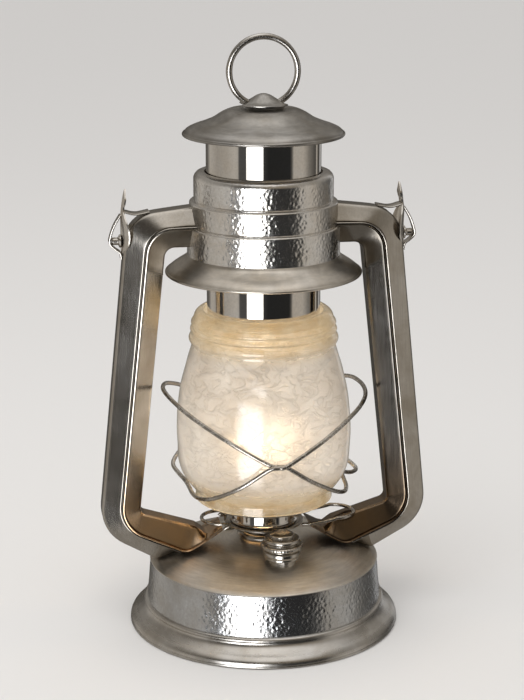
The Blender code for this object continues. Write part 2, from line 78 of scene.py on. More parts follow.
def spline(points, per=6):
    """A smooth line through open points, by Catmull-Rom."""
    pts = [Vector(p) for p in points]
    pts = [2 * pts[0] - pts[1]] + pts + [2 * pts[-1] - pts[-2]]
    line = []
    for a, b, c, d in zip(pts, pts[1:], pts[2:], pts[3:]):
        for i in range(per):
            t = i / per
            curve = 2 * b + (c - a) * t + (2 * a - 5 * b + 4 * c - d) * t**2
            line.append(tuple(0.5 * (curve + (3 * b - a - 3 * c + d) * t**3)))
    line.append(tuple(pts[-2]))
    return line


def arc(centre, radius, start, end, steps):
    """Points on an arc, by angles in degrees."""
    turns = [math.radians(start + (end - start) * i / steps) for i in range(steps + 1)]
    return [(centre[0] + radius * math.cos(t), centre[1] + radius * math.sin(t)) for t in turns]


def rounded(points, radius=0.4, steps=4):
    """A closed outline with its corners rounded. A point may give its own radius as a third number."""
    made = []
    count = len(points)
    for i, point in enumerate(points):
        here = Vector(point[:2])
        before, after = Vector(points[i - 1][:2]) - here, Vector(points[(i + 1) % count][:2]) - here
        want = point[2] if len(point) > 2 else radius
        half = before.angle(after) / 2
        if want <= 0 or half > math.radians(86):
            made.append(tuple(here))
            continue
        reach = min(want / math.tan(half), 0.45 * before.length, 0.45 * after.length)
        start, end = here + before.normalized() * reach, here + after.normalized() * reach
        for k in range(steps + 1):
            t = k / steps
            made.append(tuple((1 - t) ** 2 * start + 2 * t * (1 - t) * here + t**2 * end))
    return made


def sheet(line, thickness, bead):
    """The outline of a sheet whose middle follows an open line and whose end is rolled into a bead."""
    pts = [Vector(p) for p in line]
    left, right = [], []
    for i, p in enumerate(pts):
        way = (pts[min(i + 1, len(pts) - 1)] - pts[max(i - 1, 0)]).normalized()
        side = Vector((-way.y, way.x)) * thickness / 2
        left.append(tuple(p + side))
        right.append(tuple(p - side))
    ways = [(pts[-1] - pts[-2]).normalized(), (pts[0] - pts[1]).normalized()]
    ahead, back = [math.degrees(math.atan2(way.y, way.x)) for way in ways]
    cap = arc(pts[-1], bead, ahead + 140, ahead - 140, BEAD_STEPS)
    tail = arc(pts[0], thickness / 2, back + 60, back - 60, 3)
    return left + cap + right[::-1] + tail


def divided(a, b, count):
    """Points on the way from a to b, without a and with b."""
    way = (b[0] - a[0], b[1] - a[1])
    return [(a[0] + way[0] * k / count, a[1] + way[1] * k / count) for k in range(1, count + 1)]


def resampled(line, step):
    """A line with a point at least every step."""
    made = [line[0]]
    for a, b in zip(line, line[1:]):
        made += divided(a, b, max(1, math.ceil(math.dist(a, b) / step)))
    return made


# ---- meshes


def placed(name, data):
    """An object of the data, linked to the scene."""
    made = bpy.data.objects.new(name, data)
    bpy.context.scene.collection.objects.link(made)
    return made


def add(name, mesh, look, body, sharp=35):
    """Makes a mesh into a piece that rides on a CAD body."""
    made = placed(name, mesh)
    mesh.materials.append(LOOKS[look])
    mesh.shade_smooth()
    mesh.set_sharp_from_angle(angle=math.radians(sharp))
    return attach(made, body)


def show(name, mesh, look, node, sharp=35):
    """Adds a piece that stands for a CAD node, on its body and with the given look, and hides the node."""
    made = add(name, mesh, look, BODY_OF[node], sharp)
    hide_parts(node)
    return made


def mesh_from(name, verts, faces):
    """A mesh from points in metres."""
    mesh = bpy.data.meshes.new(name)
    mesh.from_pydata([tuple(v) for v in verts], [], faces)
    mesh.update()
    return mesh


def ring_grid(count, size, closed_line):
    """Quads between count rings of size vertices each, stored one ring after another."""
    faces = []
    for i in range(count if closed_line else count - 1):
        k = (i + 1) % count
        for j in range(size):
            n = (j + 1) % size
            faces.append((i * size + j, i * size + n, k * size + n, k * size + j))
    return faces


def lathe_mesh(name, outline, steps=ROUND_STEPS, at=(0, 0), shift=None):
    """A closed outline of (radius, height), turned. shift says how far each of the points moves outward."""
    area = sum(a[0] * b[1] - b[0] * a[1] for a, b in zip(outline, outline[1:] + outline[:1]))
    if area < 0:
        outline = outline[::-1]
    rz = np.array(outline)
    turns = 2 * math.pi * np.arange(steps) / steps
    radius, height = rz[:, 0][:, None], rz[:, 1][:, None]
    grid = np.stack([radius * np.cos(turns), radius * np.sin(turns), height + 0 * turns], axis=2)
    if shift is not None:
        along = np.roll(rz, -1, axis=0) - np.roll(rz, 1, axis=0)
        along /= np.maximum(np.linalg.norm(along, axis=1), 1e-9)[:, None]
        out = np.stack([along[:, 1], -along[:, 0]], axis=1)
        amount = shift(grid.reshape(-1, 3)).reshape(len(rz), steps)
        grid[:, :, 0] += amount * out[:, 0][:, None] * np.cos(turns)
        grid[:, :, 1] += amount * out[:, 0][:, None] * np.sin(turns)
        grid[:, :, 2] += amount * out[:, 1][:, None]
    on_axis = rz[:, 0] < 1e-6
    verts = grid.reshape(-1, 3) * MM + np.array([*at, 0]) * MM
    faces = [face for face in ring_grid(len(rz), steps, True) if not all(on_axis[v // steps] for v in face)]
    mesh = mesh_from(name, verts, faces)
    if on_axis.any():
        reworked(mesh, lambda bm: bmesh.ops.remove_doubles(bm, verts=bm.verts, dist=1e-7))
    return mesh


def reworked(mesh, change):
    """A mesh after a change made to its editable form."""
    bm = bmesh.new()
    bm.from_mesh(mesh)
    change(bm)
    bm.to_mesh(mesh)
    bm.free()
    return mesh


def outward(mesh):
    """Turns every face of a closed mesh outward."""
    return reworked(mesh, lambda bm: bmesh.ops.recalc_face_normals(bm, faces=bm.faces))


def swept_mesh(name, rings):
    """A closed mesh through rings of equally many points, with flat ends."""
    count, size = len(rings), len(rings[0])
    faces = ring_grid(count, size, False)
    faces.append(tuple(range(size)))
    faces.append(tuple(range((count - 1) * size, count * size))[::-1])
    return outward(mesh_from(name, [point for ring in rings for point in ring], faces))


def lathe(name, outline, look, node, steps=ROUND_STEPS, shift=None, sharp=35):
    """A turned piece on the lantern's axis."""
    return show(name, lathe_mesh(name, outline, steps, shift=shift), look, node, sharp)


def tube_mesh(name, points, radius, closed, sides=14):
    """A round wire through points. The wire's radius may be a number or one number per point."""
    pts = [Vector(p) for p in points]
    count = len(pts)
    radii = radius if hasattr(radius, "__len__") else [radius] * count
    ways = []
    for i in range(count):
        a = pts[i - 1] if closed or i else pts[0]
        b = pts[(i + 1) % count] if closed or i < count - 1 else pts[-1]
        ways.append((b - a).normalized())
    side = ways[0].orthogonal().normalized()
    sides_at = []
    for way in ways:
        side = (side - way * side.dot(way)).normalized()
        sides_at.append(side)
    verts = []
    for i in range(count):
        up = ways[i].cross(sides_at[i])
        for k in range(sides):
            t = 2 * math.pi * k / sides
            verts.append((pts[i] + (sides_at[i] * math.cos(t) + up * math.sin(t)) * radii[i]) * MM)
    faces = ring_grid(count, sides, closed)
    if not closed:
        for i, way in ((0, -1), (count - 1, 1)):
            tip = len(verts)
            verts.append((pts[i] + ways[i] * way * radii[i] * 0.7) * MM)
            for k in range(sides):
                edge = (i * sides + k, i * sides + (k + 1) % sides)
                faces.append((*(edge if way > 0 else edge[::-1]), tip))
    return outward(mesh_from(name, verts, faces))


def dimples(seed, radius, low, high, spacing, depth, reach):
    """A hammered surface round an upright wall: dents side by side whose edges meet in soft ridges."""
    dice = random.Random(seed)
    seeds = []
    rows = max(2, round((high - low) / (spacing * 0.86)))
    for row in range(-1, rows + 2):
        count = round(2 * math.pi * radius / spacing)
        for k in range(count):
            turn = 2 * math.pi * (k + 0.5 * (row % 2) + dice.uniform(-0.36, 0.36)) / count
            z = low + (high - low) * (row + dice.uniform(-0.36, 0.36)) / rows
            seeds.append((radius * math.cos(turn), radius * math.sin(turn), z, dice.uniform(0.25, 1)))
    tree = kdtree.KDTree(len(seeds))
    for i, s in enumerate(seeds):
        tree.insert(s[:3], i)
    tree.balance()

    def shift(points):
        """How far each point moves. The nearest dents blend smoothly, and they fade out at both edges."""
        out = np.zeros(len(points))
        for i, p in enumerate(points):
            if not low - 0.2 <= p[2] <= high + 0.2 or math.hypot(p[0], p[1]) < radius - reach:
                continue
            total = 0
            for _, index, away in tree.find_n(p, 4):
                share = seeds[index][3]
                height = min(0, away**2 / (spacing**2 * 0.36) - 1) * depth * share
                total += math.exp(-height / (depth * 0.16))
            out[i] = -depth * 0.16 * math.log(total / 4)
            edge = min(p[2] - low, high - p[2])
            out[i] *= min(1, max(0, edge / 0.8))
        return out

    return shift


# ---- materials


class Nodes:
    """Helpers that add nodes to a tree and return their outputs."""

    def __init__(self, tree):
        self.tree = tree

    def node(self, kind, **settings):
        made = self.tree.nodes.new(kind)
        for key, value in settings.items():
            setattr(made, key, value)
        return made

    def put(self, socket, value):
        if isinstance(value, bpy.types.NodeSocket):
            self.tree.links.new(value, socket)
        else:
            socket.default_value = value

    def math(self, operation, a, b=0, clamp=False):
        made = self.node("ShaderNodeMath", operation=operation, use_clamp=clamp)
        self.put(made.inputs[0], a)
        self.put(made.inputs[1], b)
        return made.outputs[0]

    def remap(self, value, low, high, to_low=0, to_high=1, kind="LINEAR"):
        made = self.node("ShaderNodeMapRange", clamp=True, interpolation_type=kind)
        self.put(made.inputs["Value"], value)
        for key, number in (("From Min", low), ("From Max", high), ("To Min", to_low), ("To Max", to_high)):
            made.inputs[key].default_value = number
        return made.outputs["Result"]

    def mix(self, share, a, b, blend="MIX"):
        made = self.node("ShaderNodeMix", data_type="RGBA", blend_type=blend)
        self.put(made.inputs["Factor"], share)
        self.put(made.inputs[6], a)
        self.put(made.inputs[7], b)
        return made.outputs[2]

    def parts(self, vector):
        made = self.node("ShaderNodeSeparateXYZ")
        self.put(made.inputs[0], vector)
        return made.outputs


class Look(Nodes):
    """A node material under construction."""

    def __init__(self, name):
        self.material = bpy.data.materials.new(name)
        self.material.use_nodes = True
        super().__init__(self.material.node_tree)
        self.shader = self.tree.nodes["Principled BSDF"]
        self.coords = self.node("ShaderNodeTexCoord").outputs["Object"]

    def set(self, **values):
        """Sets inputs of the shader, by their names with underscores for spaces."""
        for key, value in values.items():
            self.put(self.shader.inputs[key.replace("_", " ")], value)

    def vector(self, operation, a, b=(0, 0, 0), out=0):
        made = self.node("ShaderNodeVectorMath", operation=operation)
        self.put(made.inputs[0], a)
        self.put(made.inputs[1], b)
        return made.outputs[out]

    def noise(self, vector, scale, detail=3, roughness=0.55, distortion=0):
        made = self.node("ShaderNodeTexNoise")
        self.put(made.inputs["Vector"], vector)
        keys = ("Scale", "Detail", "Roughness", "Distortion")
        for key, number in zip(keys, (scale, detail, roughness, distortion)):
            made.inputs[key].default_value = number
        return made.outputs[0]

    def bump(self, height, distance, strength=1, under=None):
        made = self.node("ShaderNodeBump")
        self.put(made.inputs["Strength"], strength)
        made.inputs["Distance"].default_value = distance
        self.put(made.inputs["Height"], height)
        if under is not None:
            self.put(made.inputs["Normal"], under)
        return made.outputs["Normal"]

    def spun(self, round_share, across):
        """Coordinates whose pattern runs in rings round the upright axis."""
        flat = self.vector("MULTIPLY", self.coords, (1, 1, 0))
        radius = self.vector("LENGTH", flat, out=1)
        facing = self.parts(self.vector("NORMALIZE", flat))
        line = self.math("MULTIPLY", self.math("ADD", radius, self.parts(self.coords)[2]), across)
        made = self.node("ShaderNodeCombineXYZ")
        self.put(made.inputs[0], self.math("MULTIPLY", facing[0], round_share))
        self.put(made.inputs[1], self.math("MULTIPLY", facing[1], round_share))
        self.put(made.inputs[2], line)
        return made.outputs[0]


def grey(level, warmth=0):
    """A grey, linear, with some warmth from 0 to 1."""
    return (level, level * (1 - 0.1 * warmth), level * (1 - 0.24 * warmth), 1)


def metal(name, level, warmth, roughness, stain=0.25, stain_scale=45, streaks=None, streak_depth=0.00002,
          rough_swing=0.12, pits=0, streak_tone=0.16, painted_flame_glow=None):
    """A worn metal: cloudy tone, roughness that varies with it, and fine streaks or pits. A painted flame glow is
    painted light: amber up to its first height and gone at its second, standing in for the flame's light through
    the glass."""
    look = Look(name)
    cloud = look.noise(look.coords, stain_scale, 5, 0.6, 0.4)
    dark = grey(level * (1 - stain), min(1, warmth + 0.5))
    light = grey(min(1, level * (1 + stain * 0.45)), warmth)
    tone = look.mix(look.remap(cloud, 0.32, 0.66), dark, light)
    lines = look.noise(streaks(look) if streaks else look.coords, 1 if streaks else 700, 3, 0.6)
    tone = look.mix(look.remap(lines, 0.34, 0.66, streak_tone, 0), tone, grey(level * 0.45, warmth))
    # Painted light: the flame's amber glow, put into the colour low down and made patchy by the cloud.
    if painted_flame_glow:
        share = look.remap(look.parts(look.coords)[2], *painted_flame_glow, 1, 0)
        share = look.math("MULTIPLY", share, look.remap(cloud, 0.3, 0.6, 0.55, 1))
        tone = look.mix(share, tone, (1, 0.72, 0.46, 1), "MULTIPLY")
    mean = look.math("MULTIPLY", look.math("ADD", cloud, lines), 0.5)
    swing = look.math("MULTIPLY", look.math("SUBTRACT", mean, 0.5), rough_swing * 2)
    normal = look.bump(lines, streak_depth, 0.6)
    if pits:
        normal = look.bump(look.noise(look.coords, 620, 2, 0.5), pits, 1, normal)
    roughness = look.math("ADD", swing, roughness, clamp=True)
    look.set(Base_Color=tone, Metallic=1, Roughness=roughness, Normal=normal)
    return look.material


def glass_look():
    """Seedy, crackled glass: cream in the body, clearer and amber in the thick lip and foot. Its emission is
    painted light: a faint painted glow all over, more round the flame's height, and a painted sheen at its edges.
    """
    look = Look("frosted_glass")
    height = look.parts(look.coords)[2]
    foot = look.remap(height, 0.087, 0.101, 1, 0)
    lip = look.remap(height, 0.173, 0.184)
    thick = look.math("MAXIMUM", foot, lip)
    wave = look.noise(look.vector("MULTIPLY", look.coords, (1, 1, 1.5)), 84, 6, 0.62, 1.1)
    crease = look.remap(look.math("ABSOLUTE", look.math("SUBTRACT", wave, 0.5)), 0, 0.05, 1, 0)
    cloud = look.noise(look.coords, 30, 3, 0.5)
    seed = look.noise(look.coords, 700, 2, 0.5)
    body = look.mix(look.remap(cloud, 0.35, 0.65), (0.72, 0.64, 0.54, 1), (0.86, 0.8, 0.71, 1))
    patchy = look.math("MULTIPLY", crease, look.remap(cloud, 0.4, 0.62, 0.24, 0.05))
    body = look.mix(patchy, body, (0.58, 0.47, 0.32, 1))
    amber = look.mix(look.remap(wave, 0.38, 0.62), (0.82, 0.66, 0.42, 1), (0.97, 0.9, 0.76, 1))
    frost = look.remap(wave, 0.3, 0.7, 0.34, 0.5)
    # Painted light: a painted sheen that grows towards the edges, a painted glow round the flame's height and a
    # faint painted glow all over, all given as emission.
    edge = look.node("ShaderNodeLayerWeight")
    edge.inputs["Blend"].default_value = 0.3
    painted_edge_sheen = look.math("POWER", edge.outputs["Facing"], 2)
    glow = look.math("MULTIPLY", look.remap(height, 0.085, 0.112), look.remap(height, 0.125, 0.18, 1, 0))
    light = look.math("ADD", look.math("MULTIPLY", glow, 0.08), look.math("MULTIPLY", painted_edge_sheen, 0.12))
    normal = look.bump(wave, 0.002, look.remap(thick, 0, 1, 0.8, 0.25))
    normal = look.bump(crease, 0.0006, look.remap(thick, 0, 1, 0.7, 0.3), normal)
    look.set(
        Base_Color=look.mix(thick, body, amber),
        Transmission_Weight=look.remap(thick, 0, 1, 0.42, 0.86),
        IOR=1.45,
        Roughness=look.math("MULTIPLY", frost, look.remap(thick, 0, 1, 1, 0.08)),
        Coat_Weight=1,
        Coat_Roughness=0.09,
        Coat_IOR=1.75,
        Emission_Color=look.mix(thick, (1, 0.92, 0.82, 1), (1, 0.8, 0.5, 1)),
        Emission_Strength=look.math("ADD", light, 0.07),
        Normal=look.bump(look.remap(seed, 0.55, 0.75), 0.0002, 0.4, normal),
        Coat_Normal=look.bump(wave, 0.0003, 0.5),
    )
    return look.material


def flame_look():
    """A warm white glow that is yellower low down."""
    look = Look("flame")
    share = look.remap(look.parts(look.coords)[2], 0.102, 0.138)
    tone = look.mix(share, (1, 0.84, 0.58, 1), (1, 0.92, 0.76, 1))
    flicker = look.noise(look.coords, 160, 2)
    tone = look.mix(look.remap(flicker, 0.4, 0.8, 0, 0.2), tone, (1, 0.74, 0.4, 1))
    look.set(Emission_Color=tone, Base_Color=tone, Emission_Strength=4, Roughness=1)
    return look.material


def cotton_look():
    """Woven cotton whose upper end is charred."""
    look = Look("wick_cotton")
    weave = look.node("ShaderNodeTexWave", bands_direction="Z")
    look.put(weave.inputs["Vector"], look.coords)
    weave.inputs["Scale"].default_value = 420
    weave.inputs["Distortion"].default_value = 2
    char = look.remap(look.parts(look.coords)[2], 0.098, 0.102)
    tone = look.mix(weave.outputs[0], (0.62, 0.55, 0.42, 1), (0.82, 0.76, 0.64, 1))
    tone = look.mix(char, tone, (0.02, 0.018, 0.015, 1))
    look.set(Base_Color=tone, Roughness=0.95, Normal=look.bump(weave.outputs[0], 0.0003, 0.6))
    return look.material


def rubber_look():
    """Black rubber with a fine grain."""
    look = Look("seal_rubber")
    grain = look.noise(look.coords, 1200, 3)
    tone = look.mix(grain, (0.02, 0.02, 0.02, 1), (0.05, 0.05, 0.048, 1))
    roughness = look.remap(grain, 0.3, 0.7, 0.6, 0.85)
    look.set(Base_Color=tone, Roughness=roughness, Normal=look.bump(grain, 0.0001, 0.5))
    return look.material


def spun_rings(look):
    """Fine rings, as a lathe leaves."""
    return look.spun(4, 800)


def brushed_along(look):
    """Fine upright lines, as brushing leaves."""
    return look.vector("MULTIPLY", look.coords, (900, 900, 26))


LOOKS = {
    "canopy": metal("canopy_satin", 0.54, 0.22, 0.34, 0.3, 46, spun_rings, 0.0001, streak_tone=0.42),
    "brim": metal("brim_satin", 0.92, 0.5, 0.34, 0.28, 36, spun_rings, 0.00012, streak_tone=0.45),
    "dome": metal("dome_satin", 1, 0.4, 0.4, 0.22, 40, spun_rings, 0.00016, streak_tone=0.34),
    "foot": metal("foot_satin", 0.79, 0.22, 0.28, 0.24, 36, spun_rings, 0.0001, streak_tone=0.36),
    "tube_outer": metal("tube_outer_satin", 0.58, 0.45, 0.19, 0.24, 34, brushed_along, 0.00004, 0.08),
    "tube_inner": metal("tube_inner_satin", 0.66, 0.5, 0.19, 0.24, 34, brushed_along, 0.00004, 0.08,
                        painted_flame_glow=(0.07, 0.125)),
    # A darker copy of the inner tube look: painted shade for the right inner half.
    "tube_painted_shade": metal("tube_shaded_satin", 0.26, 0.45, 0.18, 0.22, 34, brushed_along, 0.00004, 0.08,
                         painted_flame_glow=(0.07, 0.125)),
    "seam": metal("seam_satin", 0.88, 0.25, 0.24, 0.18, 60, None, 0.00002),
    "hood": metal("hood_nickel", 1, 0.05, 0.23, 0.1, 50, None, 0.00002, 0.06, 0.00014),
    "drum": metal("drum_nickel", 0.7, -0.3, 0.25, 0.14, 50, None, 0.00002, 0.06, 0.00016),
    "chrome": metal("polished_chrome", 0.84, 0.18, 0.04, 0.05, 30, None, 0.000003, 0.03),
    "plate": metal("burner_chrome", 0.66, 0.45, 0.24, 0.26, 90, spun_rings, 0.00004, 0.12),
    "steel": metal("dull_steel", 0.48, 0.4, 0.34, 0.3, 70, None, 0.00003),
    "ring": metal("ring_steel", 0.66, 0.22, 0.26, 0.3, 110, None, 0.00004, 0.14, 0.00004),
    "wire": metal("guard_wire", 0.6, 0.38, 0.26, 0.3, 130, None, 0.00004, 0.14, 0.00004),
    "brass": metal("burner_brass", 0.55, 1, 0.3, 0.3, 90, spun_rings, 0.00003),
    "glass": glass_look(),
    "flame": flame_look(),
    "cotton": cotton_look(),
    "rubber": rubber_look(),
}


# ---- the fount


DENT_GRID = 0.45
DOME_RADIUS = 70
DOME_FOOT = 41.5
DOME_RISE = 12
WALL_BOTTOM = 15
WALL_TOP = 40.7


def dome_height(radius):
    """Height of the fount's domed top at a distance from the axis."""
    return DOME_FOOT + DOME_RISE * max(0, 1 - (radius / DOME_RADIUS) ** 2) ** 0.9


def make_fount():
    """The flared foot, the hammered wall and the domed top."""
    flare = [
        (72.6, 15.2), (73.9, 14.9), (74.4, 13.9), (73.9, 12.8), (74.2, 11.2), (75.6, 9.4), (78.2, 7.4),
        (80.8, 5.8), (82.4, 4.2), (82.9, 2.6), (82.6, 1.3),
    ]
    flare = spline(flare, 5)
    lathe("foot_flange_spun", sheet(flare, 1, 0.95), "foot", "foot_flange")
    low, high = WALL_BOTTOM, WALL_TOP
    outline = [(72.4, low - 1.2)] + resampled([(72.8, low), (70.6, high)], DENT_GRID)
    outline += [(70.3, high + 0.3), (69.2, high + 0.3), (69.2, high - 1), (71.3, low - 1.2)]
    dents = dimples(7, 71.8, low, high, 2.7, 0.3, 3)
    lathe("fount_wall_hammered", outline, "drum", "fount_wall", 960, dents, 70)
    top = [(r, dome_height(r)) for r in (12.5, 16, 20, 25, 30, 35, 40, 45, 50, 54, 58, 61, 64, 66)]
    edge = spline([top[-1], (67.6, 42.65), (69, 42.1), (70.1, 41.6), (70.7, 41.2), (70.9, 40.8)], 5)
    line = spline(top, 3)[:-1] + edge
    inside = [(70.3, 41), (69.4, 41.4), (68.2, 41.75), (66, dome_height(66) - 1)]
    inside += [(r, dome_height(r) - 1) for r in (60, 52, 42, 32, 22, 12.5)]
    lathe("fount_dome", line + inside, "dome", "fount_top")


def cut_room(piece, mesh, body):
    """Cuts the room that another piece needs out of a piece."""
    cutter = placed(mesh.name + "_cutter", mesh)
    cutter.hide_render = True
    cutter.display_type = "WIRE"
    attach(cutter, body)
    bite = piece.modifiers.new("room", "BOOLEAN")
    bite.operation = "DIFFERENCE"
    bite.solver = "EXACT"
    bite.object = cutter


def knurled(outline, at, steps, ribs, low, high, depth):
    """A lathe mesh whose rim between two heights is cut into fine ribs."""

    def shift(points):
        """The ribs."""
        turn = np.arctan2(points[:, 1], points[:, 0])
        inside = (points[:, 2] >= low) & (points[:, 2] <= high)
        return np.where(inside, depth * np.cos(turn * ribs), 0)

    return lathe_mesh("knurled", outline, steps, at, shift)


def make_filler():
    """A cap of stacked beads, each wider than the one above."""
    x, y, _ = centre_of("filler_cap")
    beads = [(0, 68.6, 0), (4.6, 68.5, 0.8), (7.2, 67.8, 0.9), (7.6, 66.8, 0.6), (6.6, 66, 0.4)]
    for radius, low, high, above, below in ((11, 62.8, 65.6, 7, 9.8), (12.8, 58.9, 61.9, 9.8, 10.2)):
        beads += [(above, high, 0.3), (radius - 0.7, high - 0.1, 0.7), (radius, high - 0.9, 0.7)]
        beads += [(radius, low + 0.9, 0.7), (radius - 0.7, low + 0.1, 0.7), (below, low, 0.3)]
    beads += [(10.2, 58, 0.3), (11.4, 57.4, 0.6), (11.6, 55.4, 0.6), (10.8, 54.2, 0.4), (11, 52.9, 0.3)]
    inside = [(8.9, 52.9, 0.2), (8.9, 62.2, 0), (0, 62.2, 0)]
    mesh = knurled(rounded(beads + inside, steps=3), (x, y), 168, 42, 59.1, 61.7, 0.1)
    show("filler_cap_turned", mesh, "plate", "filler_cap", sharp=50)


# ---- the burner, the globe and its carrier


def make_burner():
    """The cup and collar on the fount, the globe's plate and sleeve, and the wick knob at the back."""
    neck = [
        (12.7, 57.5), (13.7, 57.5), (14.4, 59.5, 1), (17.6, 61.1, 1), (20.6, 61.5), (21, 61.9),
        (20.6, 62.4), (17.4, 62.2, 1), (13.7, 60.5, 1),
    ]
    neck = rounded(neck, 0.3)
    made = lathe("burner_neck_turned", neck, "plate", "burner_neck")
    spindle = JOINTS["wick_turn"]["pos_m"]
    along_spindle = Matrix.Translation(spindle) @ Matrix.Rotation(-math.pi / 2, 4, "X")
    room = lathe_mesh("spindle_room", [(0, 8), (1.7, 8), (1.7, 24), (0, 24)], 32)
    room.transform(along_spindle)
    cut_room(made, room, "frame")
    collar = rounded([(12.8, 57.1), (15.8, 57.1), (16.5, 56), (16.5, 55), (15.9, 53.8), (12.8, 54)], 0.5)
    lathe("burner_collar_turned", collar, "plate", "burner_collar")
    plate = [
        (18.9, 63.05), (23.4, 63.05), (24.5, 63.3), (24.8, 64), (24.3, 64.6), (22.9, 64.45, 0.6),
        (22.1, 63.9, 0.6), (20.8, 63.9, 0.4), (18.9, 63.95),
    ]
    plate = rounded(plate, 0.25)
    lathe("carrier_plate_turned", plate, "plate", "carrier_plate")
    sleeve = [
        (18.8, 64.4), (20.6, 64.4, 0.2), (20.9, 64.9, 0.3), (19.9, 65.5, 0.5), (19.5, 66.4, 0.5),
        (19.5, 87.6, 0.2), (19, 88, 0.2), (18.8, 87.8, 0.1),
    ]
    sleeve = rounded(sleeve, 0.2)
    lathe("carrier_sleeve_turned", sleeve, "chrome", "carrier_sleeve")
    knob = rounded([(1.3, 33.4), (5.4, 33.4), (7.8, 34), (7.8, 36.6), (5.4, 37.2), (1.3, 37.2)], 0.4)
    mesh = knurled(knob, (0, 0), 144, 36, 33.9, 36.7, 0.28)
    mesh.transform(along_spindle)
    show("wick_knob_knurled", mesh, "brass", "wick_knob", sharp=50)


def make_globe():
    """The blown glass globe, with a pear-shaped body and beads round its neck."""
    outer = [
        (42.2, 80.4), (42, 83), (42, 86), (45.4, 89.8), (50, 96.8), (52.7, 105.5),
        (53.2, 115), (53.3, 125), (52.8, 137), (51.2, 149), (48.6, 160.4), (45.4, 171),
        (44, 175.6),
    ]
    outer = spline(outer, 6)
    neck = [
        (44, 175.6), (43.4, 177.4), (43.6, 178.8), (44.8, 179.6), (45.4, 181.2), (45, 182.8),
        (43.7, 183.8), (43, 185), (44.3, 186.3), (44.4, 187.4), (43, 188.6), (42.8, 189.6),
        (43.9, 190.7), (43.6, 192), (42.5, 193.6), (42, 195.4), (41, 197.2), (38.9, 198.8),
        (36.7, 199.1), (35.9, 197.9), (36.4, 196.4),
    ]
    neck = spline(neck, 5)
    inner = [
        (36.4, 196.4), (38.2, 194.4), (40.2, 189), (40.6, 176), (44.4, 164), (49.4, 141),
        (50.1, 125), (49.9, 107), (47.6, 99), (43, 92), (38.8, 87), (38.8, 80.4),
    ]
    inner = spline(inner, 5)
    dice = random.Random(3)
    waves = [
        (dice.randint(2, 13), dice.uniform(0.08, 0.42), dice.uniform(0, 6.28), dice.uniform(0.02, 0.05))
        for _ in range(14)
    ]

    def ripple(points):
        """Slow waves of blown glass on the outside of the body."""
        turn = np.arctan2(points[:, 1], points[:, 0])
        radius = np.hypot(points[:, 0], points[:, 1])
        z = points[:, 2]
        total = np.zeros(len(points))
        for count, pitch, start, size in waves:
            total += size * np.sin(count * turn + pitch * z + start)
        edge = np.clip((z - 88) / 8, 0, 1) * np.clip((174 - z) / 6, 0, 1)
        skin = np.where(radius > 43, 1, 0.4)
        return total * edge * skin - 0.12 * edge

    globe = lathe("globe_glass", outer[:-1] + neck[:-1] + inner, "glass", "globe", 200, ripple)
    globe.visible_shadow = False


# A guard wire by plan angle in degrees from its low side, distance from the axis and height. On that side it
# makes two small lobes that clasp the glass, and on the other it is high and stands away from the glass.
GUARD_A = [
    (-90, 55.2, 116.3), (-84, 55.2, 115), (-68, 55, 104.6), (-48, 54.2, 94.4), (-33, 53.6, 89.6),
    (-21, 51.8, 89.4), (-12, 49.4, 91.6), (-3, 48.9, 92), (5, 51, 90.4), (11, 59, 87.6), (17, 65, 87.6),
    (24, 62, 92), (38, 56.4, 97.4), (60, 55.5, 103), (90, 55.3, 117), (120, 55.3, 132), (145, 54.8, 142.8),
    (160, 56, 148.4), (172, 60, 151.8), (184, 62, 151.6), (197, 59.8, 147.6), (215, 56.6, 140.6),
    (242, 55.4, 129), (264, 55.2, 117.6),
]
GUARD_B = [
    (-90, 57.9, 116.3), (-84, 57.9, 115), (-68, 57.4, 103.8), (-50, 55.6, 94.4), (-36, 53, 90.4),
    (-24, 50.6, 89.6), (-14, 49.2, 91.6), (-6, 48.9, 92.4), (2, 49.4, 92.2), (10, 52.4, 93.4),
    (18, 57, 96.2), (26, 57.6, 99), (38, 57.4, 101.5), (60, 57.6, 106), (90, 57.8, 119), (120, 58.4, 133),
    (140, 60, 142), (156, 63, 146.6), (170, 63, 147), (184, 62.6, 145.8), (198, 61.6, 144),
    (215, 59.8, 140), (240, 58.3, 130.2), (264, 57.9, 117.6),
]
GUARD_WIRE = 1.3


def closed_spline(points, per):
    """A smooth closed line through points, by Catmull-Rom."""
    line = spline(points[-2:] + points + points[:3], per)
    return line[2 * per : (2 + len(points)) * per]


def make_wires():
    """The crossed guard wires and the two lift loops."""
    for name, side, keys in (("guard_wire_a", 1, GUARD_A), ("guard_wire_b", -1, GUARD_B)):
        points = []
        for turn, radius, z in keys:
            t = math.radians(turn)
            points.append((side * radius * math.cos(t), radius * math.sin(t), z))
        mesh = tube_mesh(name, closed_spline(points, 8), GUARD_WIRE, True)
        show(name + "_bent", mesh, "wire", name)
    for name, side, end in (("lift_loop_right", 1, 43), ("lift_loop_left", -1, 27)):
        line = [(side * 21.5, -17.5, 65.2), (side * 27, -18.4, 65.6), (side * (end - 4), -18.6, 67.4)]
        for i in range(17):
            turn = math.pi * i / 16 - math.pi / 2
            line.append((side * (end + 12.5 * math.cos(turn)), 12.5 * math.sin(turn) - 6, 68.4))
        line += [(side * (end - 4), 6.6, 67.4), (side * 27, 6.6, 65.6), (side * 22.6, 6.6, 65.2)]
        mesh = tube_mesh(name, spline(line, 3), 1.1, False)
        show(name + "_bent", mesh, "wire", name)


def make_flame():
    """A flat flame on the wick's slide."""
    outline = [(0, 101.5), (3.6, 103), (5.6, 108), (6, 113), (5, 120), (3, 128), (1.2, 134), (0, 138)]
    mesh = lathe_mesh("flame", spline(outline, 5), 40)
    mesh.transform(Matrix.Diagonal((0.72, 1.05, 1, 1)))
    flame = add("flame", mesh, "flame", "wick_slide")
    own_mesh(flame)


# ---- the side tubes


